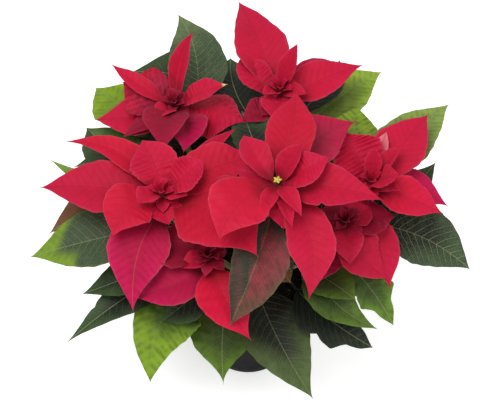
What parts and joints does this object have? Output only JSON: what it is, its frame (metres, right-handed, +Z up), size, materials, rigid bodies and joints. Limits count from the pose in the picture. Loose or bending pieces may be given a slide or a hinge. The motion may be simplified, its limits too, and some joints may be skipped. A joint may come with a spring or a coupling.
{
  "type": "potted poinsettia",
  "caption": "Poinsettia plant with large red bracts over lobed green leaves, rooted in soil in a small tapered nursery pot.",
  "frame": {"origin": "centre of the pot's base, on the surface it stands on", "axes": "+Z up; -Y is the side the picture was taken from, +X its right"},
  "size_m": [0.4156, 0.3834, 0.3065],
  "materials": {
    "pot_plastic": "satin",
    "peat": "matte",
    "bark": "matte",
    "leaf_green": "satin",
    "bract_red": "matte",
    "bud_yellow": "satin"
  },
  "bodies": {
    "root": {"pot": "pot_plastic", "soil": "peat", "trunk": "bark", "leafy_stem_a": "leaf_green", "leafy_stem_b": "leaf_green", "leafy_stem_c": "leaf_green", "leafy_stem_d": "leaf_green", "leafy_stem_e": "leaf_green", "leafy_stem_f": "leaf_green", "leafy_stem_g": "leaf_green", "bracts_a": "bract_red", "bracts_b": "bract_red", "bracts_c": "bract_red", "bracts_d": "bract_red", "bracts_e": "bract_red", "bracts_f": "bract_red", "bracts_g": "bract_red", "buds_a": "bud_yellow"}
  },
  "joints": []
}
